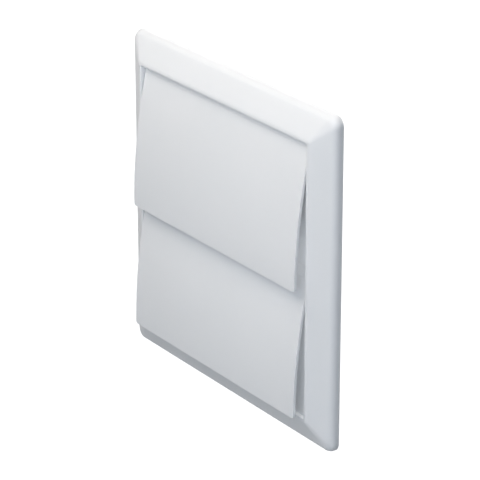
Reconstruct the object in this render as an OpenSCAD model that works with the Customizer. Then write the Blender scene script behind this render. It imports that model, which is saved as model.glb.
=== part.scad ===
// Gravity flap vent for the outside end of a 100 mm ventilation duct.
// A bevelled square cover carries two curved flaps that hang on moulded pins.
// Air from the duct lifts the flaps, and they fall shut by their own weight.
//
// The origin is the middle of the wall face, on the axis of the duct.
// X runs to the right, -Y out of the wall towards the front, and Z upwards.

/* [Cover frame] */
// Width and height of the square cover
cover_size = 140; // [132:0.5:156]
// Width of the sloping face around the opening, seen from the front
face_width = 12.5; // [11.8:0.1:13.4]
// Radius of the four outer corners, seen from the front
corner_r = 4; // [3.6:0.2:7]
// Radius of the rounding that runs along the outer rim
rim_r = 3.5; // [2.5:0.1:3.5]
// Height of the straight side of the rim, next to the wall
rim_side = 1.2; // [0.8:0.1:2]
// Slope of the sloping face, in degrees
face_slope = 24.5; // [22:0.5:26]
// Radius of the soft edge around the opening
lip_r = 0.6; // [0.3:0.1:0.8]
// Wall thickness of the cover moulding
shell = 1.5; // [1.2:0.1:1.8]
// Thickness of the cheek walls beside and under the opening
cheek = 2; // [1.6:0.1:2.4]
// Thickness of the stiffening webs behind the sloping face
web = 1.2; // [0.8:0.1:2]
// Distance between neighbouring stiffening webs
web_pitch = 26; // [20:1:30]

/* [Flaps] */
// Gap between the end of a flap and the cheek beside it
flap_gap = 0.6; // [0.4:0.1:1.2]
// Height of the upper flap's lip above the top edge of the opening
lip_tuck = 2.2; // [1.8:0.1:2.6]
// Room above that lip to swing in
lip_room = 0.8; // [0.6:0.1:1.2]
// Gap between the lower flap's hem and the bottom edge of the opening
sill_gap = 0.8; // [0.6:0.1:1.2]
// Height by which the upper flap covers the lower one
flap_overlap = 8.4; // [7.6:0.2:8.6]
// Thickness of a flap blade
flap_thick = 1.2; // [1:0.1:1.4]
// Radius of the curved front of a flap
flap_bow = 250; // [240:5:280]
// Radius of the corners of a flap
flap_corner = 1.5; // [0.8:0.1:3]
// Size of the bevel on the back edges of a flap
flap_bevel = 0.5; // [0.3:0.1:0.6]

/* [Pivots] */
// Radius of the moulded pivot pins
pin_r = 1.1; // [0.9:0.05:1.2]
// Radial clearance of a pin in its bearing
pin_clear = 0.06; // [0.04:0.01:0.1]
// Distance that a pin stops short of the outside of its cheek
pin_short = 0.4; // [0.2:0.1:0.8]
// Distance of the pivot axis from the wall
pivot_out = 5; // [4.8:0.1:5.1]
// Distance of the pivot axis below the top edge of a flap
pivot_down = 4.6; // [4.2:0.1:4.8]
// Radius of the rib that joins the two pins along the back of a flap
spine_r = 1.3; // [1.2:0.05:1.35]
// Width of the snap-in slot that leads each pin into its bearing
snap_slot = 1.9; // [1.6:0.1:2]

/* [Flap lands] */
// Distance of a land's upper end below the pivot axis
land_down = 9.4; // [8.6:0.2:12]
// Distance of the upper lands' lower end above the lower pivot axis
land_clear = 5.6; // [5.4:0.1:8]
// Distance that a land reaches in from its cheek
land_reach = 8; // [6:0.2:8.4]
// Thickness of a land
land_thick = 1.5; // [1.2:0.1:2]
// Gap between a land's upper end and the back of the closed flap
land_gap = 0.3; // [0.2:0.05:0.5]

/* [Mounting plate] */
// Thickness of the mounting plate
plate_thick = 1.4; // [1.2:0.1:1.6]
// Gap between the edge of the plate and the cover around it
plate_gap = 0.3; // [0.2:0.05:0.5]
// Outer diameter of the collar that locates in the duct
collar_d = 98; // [94:0.5:99]
// Wall thickness of the collar
collar_wall = 2; // [1.6:0.1:3]
// Length of the collar behind the wall face
collar_length = 12; // [8:0.5:14]
// Width of the bevel on the end of the collar
collar_bevel = 0.8; // [0.4:0.1:1.2]
// Distance of the fixing holes in from the edges of the opening
screw_inset = 8.5; // [7.5:0.5:10]
// Diameter of the fixing holes
screw_hole = 4.2; // [3.6:0.1:4.5]
// Diameter of the countersinks
screw_sink = 7.6; // [6.8:0.1:8]
// Diameter of the raised bosses around the fixing holes
boss_d = 10; // [9:0.5:11]
// Height of the bosses above the plate
boss_height = 1; // [0.6:0.1:1.2]

/* [Snap hooks] */
// Width of a snap hook
hook_width = 10; // [7:0.5:12]
// Thickness of a hook's tongue
hook_thick = 1.2; // [1:0.1:1.4]
// Height of a hook above the plate
hook_height = 3.3; // [3:0.1:3.4]
// Gap between a tongue and the cheek in front of it
hook_gap = 0.3; // [0.2:0.05:0.4]
// Distance that a barb reaches through its window in the cheek
hook_grip = 0.5; // [0.3:0.1:0.7]
// Height of a barb's shoulder above the plate
hook_shoulder = 1.35; // [1.3:0.05:1.5]
// Height of the upright end of a barb
hook_tip = 0.4; // [0.3:0.1:0.6]
// Clearance around a barb in its window
window_gap = 0.15; // [0.1:0.05:0.3]

/* [Hidden] */
FINE = 96;
EPS = 0.01;
// How far a cutting shape runs past what it cuts.
OVER = 1;

half = cover_size / 2;
band = face_width;
inner = half - band;
// Where the rim rounding runs into the sloping face.
round_t = rim_r * (1 - sin(face_slope));
round_y = rim_side + rim_r * cos(face_slope);
face_y = round_y + (band - round_t) * tan(face_slope);

// The two flaps share the height from the sill gap to the tucked lip, and overlap in the middle.
flap_span = 2 * inner + lip_tuck - sill_gap;
flap_height = (flap_span + flap_overlap) / 2;
flap_pitch = (flap_span - flap_overlap) / 2;
flap_half = inner - flap_gap;
lower_hem = -inner + sill_gap;
upper_hem = lower_hem + flap_pitch;
pivot_rise = flap_height - pivot_down;
upper_pivot = upper_hem + pivot_rise;
lower_pivot = lower_hem + pivot_rise;
pin_length = flap_gap + cheek - pin_short;

// The back of the blade passes through the pivot axis, which gives the reach of the hem.
hem_reach = pivot_out + flap_bow - sqrt(pow(flap_bow - flap_thick, 2) - pow(pivot_rise, 2));

// Distance from the wall to the back of a closed flap, at a height above its hem.
function back_of(h) = hem_reach - flap_bow + sqrt(pow(flap_bow - flap_thick, 2) - pow(h, 2));

land_top = pivot_rise - land_down;
land_face = back_of(land_top) - land_gap;
head_t = band - lip_tuck - lip_room - cheek;
screw_place = inner - screw_inset;

// The webs stand either side of the middle, and each snap hook midway between two of them.
web_count = floor((inner - 2 * cheek) / web_pitch + 0.5);
web_places = [for (k = [-web_count:web_count - 1]) (k + 0.5) * web_pitch];
hook_place = web_pitch;

// What lies outside a cover side, cut across: rim at x = 0, opening at x = band.
module side_cut(inset) {
    turn_r = rim_r - inset;
    difference() {
        polygon([
            [inset - OVER, rim_side],
            [rim_r, rim_side],
            [rim_r - turn_r * sin(face_slope), rim_side + turn_r * cos(face_slope)],
            [band + 2 * OVER, face_y + 2 * OVER * tan(face_slope) - inset / cos(face_slope)],
            [band + 2 * OVER, face_y + 2 * OVER],
            [inset - OVER, face_y + 2 * OVER]
        ]);
        translate([rim_r, rim_side]) circle(turn_r, $fn = FINE);
    }
}

// Outline of a cover side, cut across.
module side_outline(inset, base) {
    difference() {
        translate([inset, -base]) square([band + OVER - inset, face_y + base + OVER]);
        side_cut(inset);
    }
}

// Section of the cover from rim to rim, without its opening.
module section(inset, base) {
    difference() {
        translate([inset - half, -base])
            square([2 * (half - inset), face_y - inset / cos(face_slope) + base]);
        for (side = [0, 1])
            mirror([side, 0]) translate([half, 0]) mirror([1, 0]) side_cut(inset);
    }
}

// Section of the opening from side to side, with the soft edge around it.
module mouth_section() {
    lip_back = lip_r / tan((90 - face_slope) / 2);
    tangent = lip_back * [cos(face_slope), -sin(face_slope)];
    for (side = [0, 1])
        mirror([side, 0]) {
            translate([-EPS, -OVER]) square([inner + EPS, face_y + 2 * OVER]);
            difference() {
                translate([inner, face_y])
                    polygon([
                        [-OVER, OVER],
                        [-OVER, -lip_back],
                        [lip_r, -lip_back],
                        tangent,
                        [tangent[0], OVER]
                    ]);
                translate([inner + lip_r, face_y - lip_back]) circle(lip_r, $fn = FINE);
            }
        }
}

// Runs a section from top to bottom and from side to side, and keeps what both share.
module crossed() {
    intersection_for (turn = [0, 1])
        rotate([0, 90 * turn, 0])
            translate([0, 0, -half - OVER]) rotate([0, 0, 180]) linear_extrude(cover_size + 2 * OVER) children();
}

// Body of the cover without its opening, set in from its outside, with the corners turned.
module form(inset, base) {
    flat = half - corner_r;
    intersection() {
        crossed() section(inset, base);
        union() {
            for (turn = [0, 1])
                rotate([0, 90 * turn, 0])
                    translate([-half - OVER, -face_y - OVER, -flat])
                        cube([cover_size + 2 * OVER, face_y + base + 2 * OVER, 2 * flat]);
            for (x = [-1, 1], z = [-1, 1])
                translate([x * flat, 0, z * flat])
                    rotate([90, 0, 0])
                        rotate_extrude($fn = FINE)
                            intersection() {
                                translate([corner_r, 0]) mirror([1, 0]) side_outline(inset, base);
                                translate([0, -base]) square([corner_r, face_y + base]);
                            }
        }
    }
}

// Web across the hollow of the right-hand side, from the rim to a depth t.
module side_web(place, t) {
    translate([half, 0, place - web / 2])
        rotate([0, 0, 180])
            linear_extrude(web)
                intersection() {
                    side_outline(shell / 2, 0);
                    translate([0, plate_thick]) square([t, face_y]);
                }
}

// Wall that stands on the plate.
module upright(x0, x1, z0, z1, top) {
    translate([x0, -top, z0]) cube([x1 - x0, top - plate_thick, z1 - z0]);
}

// Land that the ends of a closed flap lie against, on a rib, on the right-hand cheek.
module land(z0, z1) {
    root = inner - land_reach;
    middle = (z0 + z1) / 2;
    translate([root, -land_face, z0]) cube([land_reach + EPS, land_thick, z1 - z0]);
    upright(root, inner + EPS, middle - web / 2, middle + web / 2, land_face - land_thick / 2);
}

// Bearing and snap-in slot through both cheeks, at one pivot height.
module bearing(z) {
    bore_r = pin_r + pin_clear;
    reach = inner + cheek + OVER;
    translate([-reach, -pivot_out, z]) rotate([0, 90, 0]) cylinder(r = bore_r, h = 2 * reach, $fn = FINE);
    translate([-reach, -pivot_out, z - snap_slot / 2])
        cube([2 * reach, pivot_out, snap_slot]);
}

module cover_frame() {
    head_z = half - head_t;
    color("whitesmoke")
    difference() {
        union() {
            difference() {
                union() {
                    difference() {
                        form(0, 0);
                        form(shell, OVER);
                    }
                    // Cheeks at the ends of the flaps, sill wall, and head wall above the flap's pocket.
                    intersection() {
                        form(shell / 2, 0);
                        union() {
                            upright(inner - EPS, inner + cheek, -inner - cheek, head_z, face_y);
                            upright(-inner - cheek, -inner + EPS, -inner - cheek, head_z, face_y);
                            upright(-inner, inner, -inner - cheek, -inner + EPS, face_y);
                            upright(-inner, inner, head_z - cheek, head_z, face_y);
                        }
                    }
                    // Stiffening webs behind the four sides.
                    for (place = web_places) {
                        side_web(place, band - cheek / 2);
                        rotate([0, 180, 0]) side_web(place, band - cheek / 2);
                        rotate([0, 90, 0]) side_web(place, band - cheek / 2);
                        rotate([0, -90, 0]) side_web(place, head_t + cheek / 2);
                    }
                }
                crossed() mouth_section();
            }
            // Lands that hold the closed flaps at their angle and shut the gaps beside them.
            for (side = [0, 1])
                mirror([side, 0, 0]) {
                    land(lower_pivot + land_clear, upper_hem + land_top);
                    land(-inner - EPS, lower_hem + land_top);
                }
        }
        bearing(upper_pivot);
        bearing(lower_pivot);
        // Windows in the cheeks for the barbs of the snap hooks.
        for (side = [0, 1], place = [-hook_place, hook_place])
            mirror([side, 0, 0])
                translate([
                    inner - EPS,
                    -plate_thick - hook_height,
                    place - hook_width / 2 - window_gap
                ])
                    cube([
                        cheek + hook_gap,
                        hook_height - hook_shoulder + window_gap,
                        hook_width + 2 * window_gap
                    ]);
    }
}

// Flap with its hem at z = 0, closed.
module flap() {
    pivot_z = pivot_rise;
    difference() {
        union() {
            intersection() {
                translate([-flap_half, flap_bow - hem_reach, 0])
                    rotate([0, 90, 0])
                        difference() {
                            cylinder(r = flap_bow, h = 2 * flap_half, $fn = 2 * FINE);
                            translate([0, 0, -OVER])
                                cylinder(r = flap_bow - flap_thick, h = 2 * (flap_half + OVER), $fn = 2 * FINE);
                        }
                // Front outline of the blade.
                rotate([90, 0, 0])
                    linear_extrude(hem_reach + OVER)
                        union() {
                            translate([-flap_half, flap_corner])
                                square([2 * flap_half, flap_height - 2 * flap_corner]);
                            translate([-flap_half + flap_corner, 0])
                                square([2 * (flap_half - flap_corner), flap_height]);
                            for (x = [-1, 1], z = [flap_corner, flap_height - flap_corner])
                                translate([x * (flap_half - flap_corner), z]) circle(flap_corner, $fn = FINE);
                        }
            }
            translate([-flap_half, -pivot_out, pivot_z])
                rotate([0, 90, 0]) cylinder(r = spine_r, h = 2 * flap_half, $fn = FINE);
            translate([-flap_half - pin_length, -pivot_out, pivot_z])
                rotate([0, 90, 0]) cylinder(r = pin_r, h = 2 * (flap_half + pin_length), $fn = FINE);
        }
        // Bevels along the back of the hem and of the top edge.
        for (height = [0, flap_height])
            translate([0, -back_of(height), height])
                rotate([45, 0, 0])
                    cube([2 * (flap_half + OVER), sqrt(2) * flap_bevel, sqrt(2) * flap_bevel], center = true);
    }
}

module upper_flap() {
    color("gainsboro") translate([0, 0, upper_hem]) flap();
}

module lower_flap() {
    color("lightgray") translate([0, 0, lower_hem]) flap();
}

// Snap hook on the right: a tongue with a barb that points at the cheek.
module snap_hook(z) {
    root = inner + cheek + hook_gap;
    barb = hook_gap + hook_grip;
    translate([0, 0, z - hook_width / 2])
        linear_extrude(hook_width)
            union() {
                translate([root, -plate_thick - hook_height]) square([hook_thick, plate_thick / 2 + hook_height]);
                polygon([
                    [root + EPS, -plate_thick - hook_shoulder],
                    [root - barb, -plate_thick - hook_shoulder],
                    [root - barb, -plate_thick - hook_shoulder - hook_tip],
                    [root + EPS, -plate_thick - hook_height]
                ]);
            }
}

module mounting_plate() {
    plate_half = half - shell - plate_gap;
    plate_corner = corner_r - shell - plate_gap;
    collar_r = collar_d / 2;
    sink_depth = (screw_sink - screw_hole) / 2;
    face = plate_thick + boss_height;
    color("gainsboro")
    difference() {
        union() {
            rotate([90, 0, 0])
                linear_extrude(plate_thick)
                    union() {
                        translate([-plate_half, -plate_half + plate_corner])
                            square([2 * plate_half, 2 * (plate_half - plate_corner)]);
                        translate([-plate_half + plate_corner, -plate_half])
                            square([2 * (plate_half - plate_corner), 2 * plate_half]);
                        for (x = [-1, 1], z = [-1, 1])
                            translate([x, z] * (plate_half - plate_corner)) circle(plate_corner, $fn = FINE);
                    }
            // Collar with a bevelled end, turned about the duct's axis.
            rotate([-90, 0, 0])
                rotate_extrude($fn = 2 * FINE)
                    polygon([
                        [collar_r - collar_wall, -plate_thick / 2],
                        [collar_r, -plate_thick / 2],
                        [collar_r, collar_length - collar_bevel],
                        [collar_r - collar_bevel, collar_length],
                        [collar_r - collar_wall, collar_length]
                    ]);
            for (x = [-1, 1], z = [-1, 1])
                translate([x * screw_place, 0, z * screw_place])
                    rotate([90, 0, 0]) cylinder(d = boss_d, h = face, $fn = FINE);
            for (side = [0, 1], z = [-hook_place, hook_place])
                mirror([side, 0, 0]) snap_hook(z);
        }
        // Air way through the plate and the collar.
        translate([0, collar_length + OVER, 0])
            rotate([90, 0, 0])
                cylinder(r = collar_r - collar_wall, h = collar_length + plate_thick + 2 * OVER, $fn = 2 * FINE);
        for (x = [-1, 1], z = [-1, 1])
            translate([x * screw_place, 0, z * screw_place]) {
                translate([0, OVER, 0]) rotate([90, 0, 0]) cylinder(d = screw_hole, h = face + 2 * OVER, $fn = FINE);
                translate([0, -face + sink_depth, 0])
                    rotate([90, 0, 0])
                        cylinder(d1 = screw_hole, d2 = screw_sink, h = sink_depth, $fn = FINE);
            }
    }
}

cover_frame();
mounting_plate();
upper_flap();
lower_flap();
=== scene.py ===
import math

import bmesh
import bpy
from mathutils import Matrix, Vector


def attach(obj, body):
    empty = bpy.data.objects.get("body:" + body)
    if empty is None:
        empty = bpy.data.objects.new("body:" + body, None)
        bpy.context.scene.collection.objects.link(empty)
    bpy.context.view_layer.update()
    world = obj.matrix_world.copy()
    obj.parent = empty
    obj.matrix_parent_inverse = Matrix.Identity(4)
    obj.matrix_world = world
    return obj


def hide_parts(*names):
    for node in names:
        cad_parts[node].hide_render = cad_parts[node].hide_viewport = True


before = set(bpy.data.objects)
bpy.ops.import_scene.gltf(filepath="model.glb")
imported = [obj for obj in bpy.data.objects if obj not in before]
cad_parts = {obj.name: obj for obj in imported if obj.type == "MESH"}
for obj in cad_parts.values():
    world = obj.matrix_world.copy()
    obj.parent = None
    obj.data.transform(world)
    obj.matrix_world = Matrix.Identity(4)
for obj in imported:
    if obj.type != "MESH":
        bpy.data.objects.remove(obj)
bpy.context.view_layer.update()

# Cover of the vent: a hollow square moulding in white ABS, open at its back, that snaps over the plate.
# Its tool was cut with a ball-nosed cutter, so the rim, the mitres and the lip of the opening are all soft.
# The soft outside is lofted ring by ring, in millimetres, and what it encloses of the moulding is kept.
MM = 0.001
COVER_HALF = 70.0
COVER_BAND = 12.5
RIM_SIDE = 1.2
RIM_RADIUS = 3.5
RIM_STEPS = 10
FACE_SLOPE = math.radians(24.5)
SLOPE_INSETS = (4.5, 7.0, 9.0)
SWELL_RADIUS = 5.0
SWELL_STEPS = 6
LIP_RADIUS = 0.35
LIP_STEPS = 4
LIP_SKIRT = 0.3
CORNER_AT_RIM = 4.0
CORNER_AT_LIP = 1.0
CORNER_INSIDE = 0.02
CORNER_STEPS = 10
# The soft outside lies this far under the moulding's own skin, and the loft starts behind the wall.
SKIN = 0.08
WALL_SKIN = 0.01
BEHIND_WALL = -1.0


def face_depth(inset):
    """Distance of the softened sloping face from the wall, at an inset from the rim."""
    slope_start = RIM_RADIUS * (1 - math.sin(FACE_SLOPE))
    foot = RIM_SIDE + RIM_RADIUS * math.cos(FACE_SLOPE)
    return foot + (inset - slope_start) * math.tan(FACE_SLOPE) - SKIN / math.cos(FACE_SLOPE)


def corner_at(inset):
    """Radius of the cover's corner, seen from the front, at an inset from the rim."""
    return CORNER_AT_RIM + (CORNER_AT_LIP - CORNER_AT_RIM) * inset / COVER_BAND


# Each ring is an inset from the rim, a depth in front of the wall and a corner radius: first the side.
cover_rings = [(SKIN, BEHIND_WALL, CORNER_AT_RIM), (SKIN, 0.0, CORNER_AT_RIM)]
# The round rim and the flat slope.
for step in range(RIM_STEPS + 1):
    turn = step / RIM_STEPS * (math.pi / 2 - FACE_SLOPE)
    inset = RIM_RADIUS - (RIM_RADIUS - SKIN) * math.cos(turn)
    cover_rings.append((inset, RIM_SIDE + (RIM_RADIUS - SKIN) * math.sin(turn), corner_at(inset)))
for inset in SLOPE_INSETS:
    cover_rings.append((inset, face_depth(inset), corner_at(inset)))
# The gentle swell from the slope to the level top of the lip.
swell_end = COVER_BAND - WALL_SKIN - LIP_RADIUS
swell_start = swell_end - SWELL_RADIUS * math.sin(FACE_SLOPE)
swell_foot = face_depth(swell_start) - SWELL_RADIUS * math.cos(FACE_SLOPE)
for step in range(SWELL_STEPS + 1):
    turn = FACE_SLOPE * (1 - step / SWELL_STEPS)
    inset = swell_end - SWELL_RADIUS * math.sin(turn)
    radius = CORNER_AT_LIP + (corner_at(swell_start) - CORNER_AT_LIP) * (1 - step / SWELL_STEPS)
    cover_rings.append((inset, swell_foot + SWELL_RADIUS * math.cos(turn), radius))
# The round lip, which turns into the wall of the opening.
lip_top = swell_foot + SWELL_RADIUS
for step in range(1, LIP_STEPS + 1):
    turn = step / LIP_STEPS * math.pi / 2
    inset = swell_end + LIP_RADIUS * math.sin(turn)
    radius = CORNER_AT_LIP * (1 - step / LIP_STEPS) + CORNER_INSIDE
    cover_rings.append((inset, lip_top - LIP_RADIUS * (1 - math.cos(turn)), radius))
cover_rings.append((COVER_BAND - WALL_SKIN, lip_top - LIP_RADIUS - LIP_SKIRT, CORNER_INSIDE))


def take_alone(piece):
    """Makes a piece the only one selected and the active one."""
    bpy.ops.object.select_all(action="DESELECT")
    piece.select_set(True)
    bpy.context.view_layer.objects.active = piece


def open_edit(piece):
    """Opens a piece for editing, all selected."""
    take_alone(piece)
    bpy.ops.object.mode_set(mode="EDIT")
    bpy.ops.mesh.select_all(action="SELECT")


def pick_edges(piece, is_wanted):
    """Selects, in edit mode, the edges whose two ends pass the test."""
    bpy.ops.mesh.select_mode(type="EDGE")
    bpy.ops.mesh.select_all(action="DESELECT")
    sheet = bmesh.from_edit_mesh(piece.data)
    for edge in sheet.edges:
        edge.select = is_wanted(edge.verts[0].co, edge.verts[1].co)
    bmesh.update_edit_mesh(piece.data)


def ring_outline(inset, depth, corner):
    """A square outline with round corners, facing the front at a depth before the wall."""
    bpy.ops.object.select_all(action="DESELECT")
    bpy.ops.mesh.primitive_plane_add(
        size=2 * (COVER_HALF - inset) * MM, location=(0, -depth * MM, 0), rotation=(math.pi / 2, 0, 0)
    )
    bpy.ops.object.transform_apply(location=True, rotation=True, scale=True)
    outline = bpy.context.object
    open_edit(outline)
    bpy.ops.mesh.bevel(offset=corner * MM, segments=CORNER_STEPS, affect="VERTICES")
    # Only the first and the last ring keep their face, which closes the loft.
    if (inset, depth, corner) not in (cover_rings[0], cover_rings[-1]):
        bpy.ops.mesh.delete(type="ONLY_FACE")
    bpy.ops.object.mode_set(mode="OBJECT")
    return outline


# A point may miss its ring by this much, and a round corner dips by under this share of its radius.
RING_MISS = 0.002
CORNER_DIP = 0.3


def lies_on_ring(point, ring):
    """Says whether a point belongs to one ring of the cover's soft outside."""
    inset, depth, corner = ring
    reach = max(abs(point.x), abs(point.z)) / MM + inset - COVER_HALF
    return abs(point.y / MM + depth) < RING_MISS and -CORNER_DIP * corner - RING_MISS < reach < RING_MISS


outlines = [ring_outline(*ring) for ring in cover_rings]
bpy.ops.object.select_all(action="DESELECT")
for outline in outlines:
    outline.select_set(True)
soft_outside = outlines[0]
bpy.context.view_layer.objects.active = soft_outside
bpy.ops.object.join()
open_edit(soft_outside)
for lower, upper in zip(cover_rings, cover_rings[1:]):
    pick_edges(
        soft_outside,
        lambda a, b: any(lies_on_ring(a, ring) and lies_on_ring(b, ring) for ring in (lower, upper)),
    )
    bpy.ops.mesh.bridge_edge_loops()
bpy.ops.mesh.select_all(action="SELECT")
bpy.ops.mesh.normals_make_consistent(inside=False)
bpy.ops.object.mode_set(mode="OBJECT")

# Points closer than the first are one point, and triangles that turn by less than the second are one face.
SAME_POINT = 0.001 * MM
SAME_FACE = math.radians(0.3)


def moulding_from(node_name, piece_name):
    """A copy of a moulding's solid with its loose triangles merged into whole faces."""
    piece = bpy.data.objects.new(piece_name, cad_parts[node_name].data.copy())
    bpy.context.collection.objects.link(piece)
    open_edit(piece)
    bpy.ops.mesh.customdata_custom_splitnormals_clear()
    bpy.ops.mesh.remove_doubles(threshold=SAME_POINT)
    bpy.ops.mesh.dissolve_limited(angle_limit=SAME_FACE)
    bpy.ops.object.mode_set(mode="OBJECT")
    return piece


def join_solids(piece, other, operation):
    """Cuts, joins or trims a piece with another solid, which is used up."""
    take_alone(piece)
    tool = piece.modifiers.new("fit", "BOOLEAN")
    tool.operation = operation
    tool.solver = "EXACT"
    tool.object = other
    bpy.ops.object.modifier_apply(modifier=tool.name)
    bpy.data.objects.remove(other)


# Edges that turn by more than this look sharp.
CREASE = math.radians(32)


def finish_skin(piece):
    """Shades a piece smooth up to its creases, with its large faces left flat."""
    take_alone(piece)
    bpy.ops.object.shade_smooth_by_angle(angle=CREASE)
    skin = piece.modifiers.new("flat faces stay flat", "WEIGHTED_NORMAL")
    skin.keep_sharp = True
    bpy.ops.object.modifier_apply(modifier=skin.name)


bevelled_cover = moulding_from("cover_frame", "bevelled_cover")
join_solids(bevelled_cover, soft_outside, "INTERSECT")
finish_skin(bevelled_cover)


def linear(hex_colour):
    """An sRGB hex colour as linear values with full alpha."""
    parts = [int(hex_colour[k:k + 2], 16) / 255 for k in (0, 2, 4)]
    return tuple(c / 12.92 if c <= 0.04045 else ((c + 0.055) / 1.055) ** 2.4 for c in parts) + (1.0,)


def add_node(tree, kind, settings=None, inputs=None, links=None):
    """Adds one node, sets its properties and sockets, and links its inputs."""
    node = tree.nodes.new(kind)
    for name, value in (settings or {}).items():
        setattr(node, name, value)
    for name, value in (inputs or {}).items():
        node.inputs[name].default_value = value
    for name, source in (links or {}).items():
        tree.links.new(source, node.inputs[name])
    return node


def moulded_abs(name, tone, flow_tone, sheen_range, grit_mm, grit_height_mm):
    """Injection-moulded ABS: a whisper of flow clouds, an eroded skin and a satin sheen that wanders."""
    material = bpy.data.materials.new(name)
    material.use_nodes = True
    tree = material.node_tree
    tree.nodes.clear()
    place = add_node(tree, "ShaderNodeTexCoord").outputs["Object"]
    # Flow clouds about 35 mm across, from the resin's way through the tool.
    clouds = add_node(
        tree, "ShaderNodeTexNoise", None, {"Scale": 1 / (35 * MM), "Detail": 2.0, "Roughness": 0.45},
        {"Vector": place},
    )
    tint = add_node(
        tree, "ShaderNodeMix", {"data_type": "RGBA"}, {"A": linear(flow_tone), "B": linear(tone)},
        {"Factor": clouds.outputs["Fac"]},
    )
    # Patches of handling polish about 12 mm across.
    polish = add_node(
        tree, "ShaderNodeTexNoise", None, {"Scale": 1 / (12 * MM), "Detail": 3.0, "Roughness": 0.5},
        {"Vector": place},
    )
    sheen = add_node(
        tree, "ShaderNodeMapRange", None,
        {"From Min": 0.3, "From Max": 0.7, "To Min": sheen_range[0], "To Max": sheen_range[1]},
        {"Value": polish.outputs["Fac"]},
    )
    # Grit of the eroded tool: really near 0.06 mm, drawn coarser so that it shows at all.
    grit = add_node(
        tree, "ShaderNodeTexNoise", None, {"Scale": 1 / (grit_mm * MM), "Detail": 2.0, "Roughness": 0.6},
        {"Vector": place},
    )
    skin = add_node(
        tree, "ShaderNodeBump", None, {"Strength": 0.3, "Distance": grit_height_mm * MM},
        {"Height": grit.outputs["Fac"]},
    )
    # Light goes about a millimetre into the resin, which softens small shadows and thin edges.
    plastic = add_node(
        tree, "ShaderNodeBsdfPrincipled", None,
        {
            "IOR": 1.54, "Specular IOR Level": 0.2,
            "Subsurface Weight": 0.6, "Subsurface Radius": (1.0, 1.0, 1.0), "Subsurface Scale": 1.2 * MM,
        },
        {
            "Base Color": tint.outputs["Result"],
            "Roughness": sheen.outputs["Result"],
            "Normal": skin.outputs["Normal"],
        },
    )
    add_node(tree, "ShaderNodeOutputMaterial", None, None, {"Surface": plastic.outputs["BSDF"]})
    return material


# Satin white ABS, moulded against a finely eroded tool: even, cool white, a broad soft sheen, no sparkle.
cover_abs = moulded_abs("satin white moulded ABS", "ecedee", "e8eaeb", (0.46, 0.54), 0.5, 0.006)
bevelled_cover.data.materials.clear()
bevelled_cover.data.materials.append(cover_abs)
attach(bevelled_cover, "vent_body")
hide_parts("cover_frame")

# Flaps: two equal blades in the same white ABS, bowed to a radius of 250 mm and 1.2 mm thick.
# Each is a strip swept along its bow, with turned corners and broken edges, and its spine carries two pins
# that snap into the cover. One is modelled closed, as the upper flap, and the other is its copy lower down.
BLADE_HALF = 56.9
BLADE_THICK = 1.2
BLADE_BOW = 250.0
BOW_STEPS = 40
BLADE_HEIGHT = 62.4
BLADE_CORNER = 1.5
BLADE_CORNER_STEPS = 8
BLADE_EDGE = 0.12
BACK_BEVEL = 0.5
HEM_REACH = 13.007
UPPER_HEM = -2.7
FLAP_PITCH = 54.0
PIVOT_OUT = 5.0
PIVOT_RISE = 57.8
SPINE_RADIUS = 1.3
SPINE_SHORT = 0.1
PIN_RADIUS = 1.1
PIN_LENGTH = 2.1
PIN_EDGE = 0.25
ROD_SIDES = 48

bow_centre = BLADE_BOW - HEM_REACH
sweep = math.asin(BLADE_HEIGHT / BLADE_BOW)
bpy.ops.object.select_all(action="DESELECT")
bpy.ops.mesh.primitive_plane_add(size=2, location=(0, -(HEM_REACH - BLADE_THICK / 2) * MM, UPPER_HEM * MM))
upper_blade = bpy.context.object
upper_blade.name = "upper_blade"
upper_blade.scale = (BLADE_HALF * MM, BLADE_THICK / 2 * MM, 1)
bpy.ops.object.transform_apply(location=True, rotation=True, scale=True)
open_edit(upper_blade)
bpy.ops.mesh.spin(
    steps=BOW_STEPS, angle=sweep, center=(0, bow_centre * MM, UPPER_HEM * MM), axis=(1, 0, 0)
)
bpy.ops.mesh.select_all(action="SELECT")
bpy.ops.mesh.remove_doubles(threshold=SAME_POINT)
bpy.ops.mesh.normals_make_consistent(inside=False)

# The corners are looked for this close to the blade's outline. Its top is square to the bow, so the
# back edge there lies a little lower than the front one.
CORNER_SEARCH = 0.1
TOP_SEARCH = 0.5


def is_blade_corner(a, b):
    """Says whether an edge runs through the blade's thickness at one of its four corners."""
    at_end = abs(a.x + b.x) / 2 > (BLADE_HALF - CORNER_SEARCH) * MM
    at_hem = max(a.z, b.z) < (UPPER_HEM + CORNER_SEARCH) * MM
    at_top = min(a.z, b.z) > (UPPER_HEM + BLADE_HEIGHT - TOP_SEARCH) * MM
    return at_end and (at_hem or at_top)


pick_edges(upper_blade, is_blade_corner)
bpy.ops.mesh.bevel(offset=BLADE_CORNER * MM, segments=BLADE_CORNER_STEPS, affect="EDGES")
bpy.ops.object.mode_set(mode="OBJECT")

# Edges that turn by more than this are rounded, and the bevels at 45 degrees stay as they are.
BREAK_ANGLE = math.radians(50)


def break_edges(piece, width_mm, steps):
    """Rounds every sharp edge of a piece a little, as a moulding tool leaves it."""
    take_alone(piece)
    edge = piece.modifiers.new("broken edges", "BEVEL")
    edge.width = width_mm * MM
    edge.segments = steps
    edge.limit_method = "ANGLE"
    edge.angle_limit = BREAK_ANGLE
    bpy.ops.object.modifier_apply(modifier=edge.name)


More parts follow.
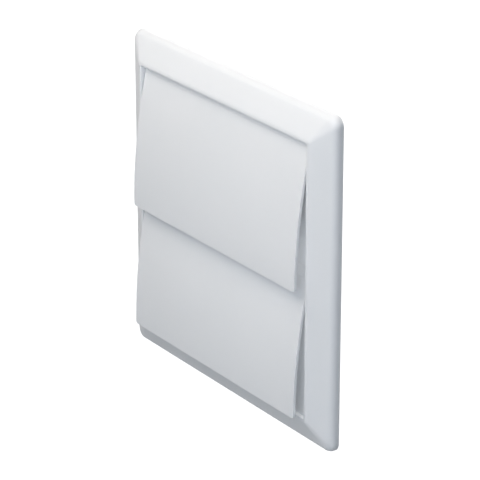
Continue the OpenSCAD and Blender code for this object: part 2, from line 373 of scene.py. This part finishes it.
def back_bevel_bar(height):
    """A long square bar on edge, which bevels the back of the blade at a height above its hem."""
    back = bow_centre - math.sqrt((BLADE_BOW - BLADE_THICK) ** 2 - height ** 2)
    side = math.sqrt(2) * BACK_BEVEL * MM
    bpy.ops.object.select_all(action="DESELECT")
    bpy.ops.mesh.primitive_cube_add(
        size=1, location=(0, back * MM, (UPPER_HEM + height) * MM), rotation=(math.pi / 4, 0, 0)
    )
    bar = bpy.context.object
    # A tenth longer than the blade.
    bar.scale = (2.2 * BLADE_HALF * MM, side, side)
    bpy.ops.object.transform_apply(location=True, rotation=True, scale=True)
    return bar


def pivot_rod(radius, half_length):
    """A round rod with broken ends that lies on the upper flap's pivot axis."""
    bpy.ops.object.select_all(action="DESELECT")
    bpy.ops.mesh.primitive_cylinder_add(
        radius=radius * MM, depth=2 * half_length * MM, vertices=ROD_SIDES,
        location=(0, -PIVOT_OUT * MM, (UPPER_HEM + PIVOT_RISE) * MM), rotation=(0, math.pi / 2, 0)
    )
    rod = bpy.context.object
    bpy.ops.object.transform_apply(location=True, rotation=True, scale=True)
    break_edges(rod, PIN_EDGE, 2)
    return rod


break_edges(upper_blade, BLADE_EDGE, 3)
join_solids(upper_blade, back_bevel_bar(0), "DIFFERENCE")
join_solids(upper_blade, back_bevel_bar(BLADE_HEIGHT), "DIFFERENCE")
join_solids(upper_blade, pivot_rod(SPINE_RADIUS, BLADE_HALF - SPINE_SHORT), "UNION")
join_solids(upper_blade, pivot_rod(PIN_RADIUS, BLADE_HALF + PIN_LENGTH), "UNION")
finish_skin(upper_blade)

lower_blade = bpy.data.objects.new("lower_blade", upper_blade.data.copy())
bpy.context.collection.objects.link(lower_blade)
open_edit(lower_blade)
bpy.ops.transform.translate(value=(0, 0, -FLAP_PITCH * MM))
bpy.ops.object.mode_set(mode="OBJECT")

# Satin white ABS from the same resin; the thin blades filled fast, so their sheen is a touch duller.
flap_abs = moulded_abs(
    "satin white moulded ABS of the blades", "ecedee", "e8eaeb", (0.5, 0.58), 0.5, 0.006
)
for blade, body, node_name in (
    (upper_blade, "upper_flap_body", "upper_flap"),
    (lower_blade, "lower_flap_body", "lower_flap"),
):
    blade.data.materials.clear()
    blade.data.materials.append(flap_abs)
    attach(blade, body)
    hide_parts(node_name)

# Mounting plate: a flat ABS moulding with the duct collar, four screw bosses and four snap hooks.
# It is screwed to the wall and lies behind the cover, so its skin is plain and its edges barely broken.
PLATE_EDGE = 0.15
back_plate = moulding_from("mounting_plate", "back_plate")
break_edges(back_plate, PLATE_EDGE, 2)
finish_skin(back_plate)
# Plain white ABS, moulded against a tool that was only milled: duller and a shade greyer.
plate_abs = moulded_abs(
    "plain white moulded ABS of the plate", "e4e6e7", "dfe1e3", (0.55, 0.65), 0.7, 0.01
)
back_plate.data.materials.clear()
back_plate.data.materials.append(plate_abs)
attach(back_plate, "vent_body")
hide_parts("mounting_plate")

# Studio: a wide pale floor and an even, very light room, both white to the lens and to reflections.
# The floor's paint still takes the shadow of what hangs over it.
FLOOR_SIZE = 8
FLOOR_DROP = 260.0
FLOOR_GLOW = 0.92


def seen_directly(tree):
    """A factor of 1 for what the lens, a reflection or clear glass sees, and 0 for what lights things."""
    ray = add_node(tree, "ShaderNodeLightPath")
    mirror = add_node(
        tree, "ShaderNodeMath", {"operation": "MAXIMUM"}, None,
        {0: ray.outputs["Is Glossy Ray"], 1: ray.outputs["Is Transmission Ray"]},
    )
    lens_or_mirror = add_node(
        tree, "ShaderNodeMath", {"operation": "MAXIMUM"}, None,
        {0: ray.outputs["Is Camera Ray"], 1: mirror.outputs[0]},
    )
    return lens_or_mirror.outputs[0]


bpy.ops.object.select_all(action="DESELECT")
bpy.ops.mesh.primitive_plane_add(size=FLOOR_SIZE, location=(0, 0, -FLOOR_DROP * MM))
studio_floor = bpy.context.object
studio_floor.name = "studio_floor"
# Matt white studio paint: no gloss, a little roller texture.
floor_paint = bpy.data.materials.new("matt white studio paint")
floor_paint.use_nodes = True
tree = floor_paint.node_tree
tree.nodes.clear()
place = add_node(tree, "ShaderNodeTexCoord").outputs["Object"]
roller = add_node(
    tree, "ShaderNodeTexNoise", None, {"Scale": 1 / (4 * MM), "Detail": 2.0}, {"Vector": place}
)
stipple = add_node(
    tree, "ShaderNodeBump", None, {"Strength": 0.1, "Distance": 0.1 * MM}, {"Height": roller.outputs["Fac"]}
)
paint = add_node(
    tree, "ShaderNodeBsdfPrincipled", None,
    {"Base Color": linear("8c8c8c"), "Roughness": 0.9}, {"Normal": stipple.outputs["Normal"]},
)
lift = add_node(
    tree, "ShaderNodeMath", {"operation": "MULTIPLY"}, {1: FLOOR_GLOW}, {0: seen_directly(tree)}
)
glow = add_node(
    tree, "ShaderNodeEmission", None, {"Color": (1, 1, 1, 1)}, {"Strength": lift.outputs[0]}
)
painted = add_node(
    tree, "ShaderNodeAddShader", None, None, {0: paint.outputs["BSDF"], 1: glow.outputs["Emission"]}
)
add_node(tree, "ShaderNodeOutputMaterial", None, None, {"Surface": painted.outputs["Shader"]})
studio_floor.data.materials.append(floor_paint)

room = bpy.data.worlds.new("even white room")
bpy.context.scene.world = room
room.use_nodes = True
tree = room.node_tree
tree.nodes.clear()
fill = add_node(tree, "ShaderNodeBackground", None, {"Color": linear("eaeef5"), "Strength": 0.04})
backdrop = add_node(tree, "ShaderNodeBackground", None, {"Color": (1, 1, 1, 1), "Strength": 1.0})
shown = add_node(
    tree, "ShaderNodeMixShader", None, None,
    {0: seen_directly(tree), 1: fill.outputs["Background"], 2: backdrop.outputs["Background"]},
)
add_node(tree, "ShaderNodeOutputWorld", None, None, {"Surface": shown.outputs["Shader"]})


def soft_box(name, place, width, power, tint, casts_shadow=True):
    """A square soft box that hangs at a place and faces the vent."""
    lamp = bpy.data.lights.new(name, "AREA")
    lamp.shape = "SQUARE"
    lamp.size = width
    lamp.energy = power
    lamp.color = tint
    lamp.use_shadow = casts_shadow
    box = bpy.data.objects.new(name, lamp)
    bpy.context.collection.objects.link(box)
    box.location = place
    box.rotation_euler = Vector(place).to_track_quat("Z", "Y").to_euler()


# A box close above the front gives most of the light. About half of it comes without shadow, as a white
# room throws it back, and wide cool boxes fill from the right, above, the front and behind.
WARM = (1.0, 0.94, 0.88)
soft_box("near box", (0.0, -0.3, 0.5), 0.5, 1.4, WARM)
soft_box("near box thrown back by the room", (0.0, -0.31, 0.515), 0.5, 1.5, WARM, casts_shadow=False)
soft_box("right box", (0.9, -0.7, 0.3), 1.0, 5.9, (0.83, 0.90, 1.0))
soft_box("top box", (0.05, 0.1, 0.9), 1.0, 1.1, (0.84, 0.92, 1.0), casts_shadow=False)
soft_box("front box", (0.15, -1.1, 0.35), 1.2, 2.1, (0.72, 0.85, 1.0))
soft_box("back box", (-0.8, 0.9, 0.35), 1.0, 10.0, (0.95, 0.97, 1.0))

# Camera of the photograph: right of the front and a little above, through a long lens.
# It looks almost at the middle of the cover, from about a metre away.
VIEW_AZIMUTH = math.radians(55.11)
VIEW_HEIGHT = math.radians(22.13)
VIEW_DISTANCE = 1.031
VIEW_TARGET = (0.00192, 0.0, -0.00196)
long_lens = bpy.data.cameras.new("long lens")
long_lens.lens = 191.5
long_lens.sensor_width = 36
camera = bpy.data.objects.new("camera", long_lens)
bpy.context.collection.objects.link(camera)
reach = VIEW_DISTANCE * math.cos(VIEW_HEIGHT)
camera.location = (
    VIEW_TARGET[0] + reach * math.sin(VIEW_AZIMUTH),
    VIEW_TARGET[1] - reach * math.cos(VIEW_AZIMUTH),
    VIEW_TARGET[2] + VIEW_DISTANCE * math.sin(VIEW_HEIGHT),
)
camera.rotation_euler = (math.pi / 2 - VIEW_HEIGHT, 0, VIEW_AZIMUTH)
bpy.context.scene.camera = camera
bpy.context.scene.view_settings.view_transform = "Standard"
